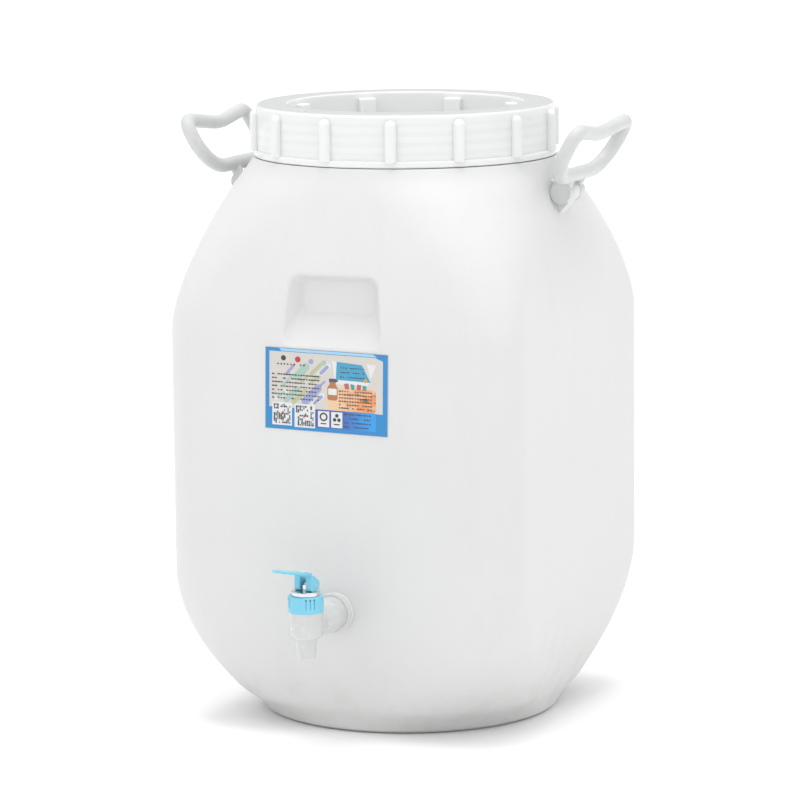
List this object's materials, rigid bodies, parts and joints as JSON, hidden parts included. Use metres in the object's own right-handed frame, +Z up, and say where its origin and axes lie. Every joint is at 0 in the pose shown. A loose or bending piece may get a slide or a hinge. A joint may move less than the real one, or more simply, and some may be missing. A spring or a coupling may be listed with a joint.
{
  "type": "plastic fermenting bucket",
  "caption": "Square-shouldered plastic fermenting bucket with a ribbed screw cap, an inner lid, swinging carry handles and a lever tap low on the front face.",
  "frame": {"origin": "centre of the base, on the surface the bucket stands on", "axes": "+Z up, -Y out of the face that carries the tap and the label, +X to the right seen from the front"},
  "size_m": [0.376, 0.4182, 0.53],
  "materials": {
    "drum_plastic": "blown natural polyethylene, faint satin sheen",
    "cap_plastic": "moulded polyethylene, satin",
    "lid_plastic": "moulded polyethylene, satin",
    "handle_plastic": "moulded polypropylene, satin",
    "silicone": "soft white silicone",
    "label_film": "printed film",
    "tap_plastic": "moulded polypropylene",
    "blue_plastic": "moulded, glossy",
    "bright_metal": "polished",
    "spring_steel": "drawn wire"
  },
  "bodies": {
    "bucket": {"bucket_body": "drum_plastic", "label": "label_film", "tap_body": "tap_plastic", "tap_outer_washer": "silicone", "tap_inner_washer": "silicone", "tap_lock_nut": "tap_plastic", "tap_collar": "blue_plastic", "stem_guide": "tap_plastic", "guide_seal": "silicone", "stem_o_ring": "silicone", "valve_spring": "spring_steel"},
    "cap_carrier": {"cap_gasket": "silicone"},
    "cap": {"screw_cap": "cap_plastic"},
    "inner_lid": {"inner_lid": "lid_plastic"},
    "left_handle": {"handle_left": "handle_plastic"},
    "right_handle": {"handle_right": "handle_plastic"},
    "lever_base": {"lever_seat": "bright_metal"},
    "stem": {"valve_stem": "bright_metal", "lever_pin": "bright_metal", "valve_plug": "silicone", "spring_washer": "tap_plastic"},
    "lever": {"tap_lever": "blue_plastic"}
  },
  "joints": [
    {"name": "cap_lift", "type": "slide", "parent": "bucket", "child": "cap_carrier", "axis": [0, 0, 1], "range_m": [0, 0.02]},
    {"name": "cap_turn", "type": "hinge", "parent": "cap_carrier", "child": "cap", "pos_m": [0, 0, 0.5], "axis": [0, 0, 1], "range_deg": [0, 720]},
    {"name": "inner_lid_lift", "type": "slide", "parent": "bucket", "child": "inner_lid", "axis": [0, 0, 1], "range_m": [0, 0.01]},
    {"name": "handle_left_swing", "type": "hinge", "parent": "bucket", "child": "left_handle", "pos_m": [-0.15, 0, 0.457], "axis": [0, -1, 0], "range_deg": [-28, 125]},
    {"name": "handle_right_swing", "type": "hinge", "parent": "bucket", "child": "right_handle", "pos_m": [0.15, 0, 0.457], "axis": [0, 1, 0], "range_deg": [-28, 125]},
    {"name": "lever_swivel", "type": "hinge", "parent": "bucket", "child": "lever_base", "pos_m": [0, -0.22, 0.1382], "axis": [0, 0, 1], "continuous": true},
    {"name": "stem_lift", "type": "slide", "parent": "lever_base", "child": "stem", "axis": [0, 0, 1], "range_m": [0, 0.00164], "stiffness_N_per_m": 800, "springref_m": -0.005, "deforming": ["valve_spring"]},
    {"name": "lever_press", "type": "hinge", "parent": "stem", "child": "lever", "pos_m": [0.00068, -0.21708, 0.14665], "axis": [0.9744, -0.225, 0], "range_deg": [0, 20.1]}
  ],
  "couplings": [
    {"joint": "cap_lift", "follows": "cap_turn", "m_per_rad": 0.0015915},
    {"joint": "inner_lid_lift", "follows": "cap_turn", "m_per_rad": 0.00079577},
    {"joint": "lever_press", "follows": "stem_lift", "rad_per_m": 212.77}
  ]
}
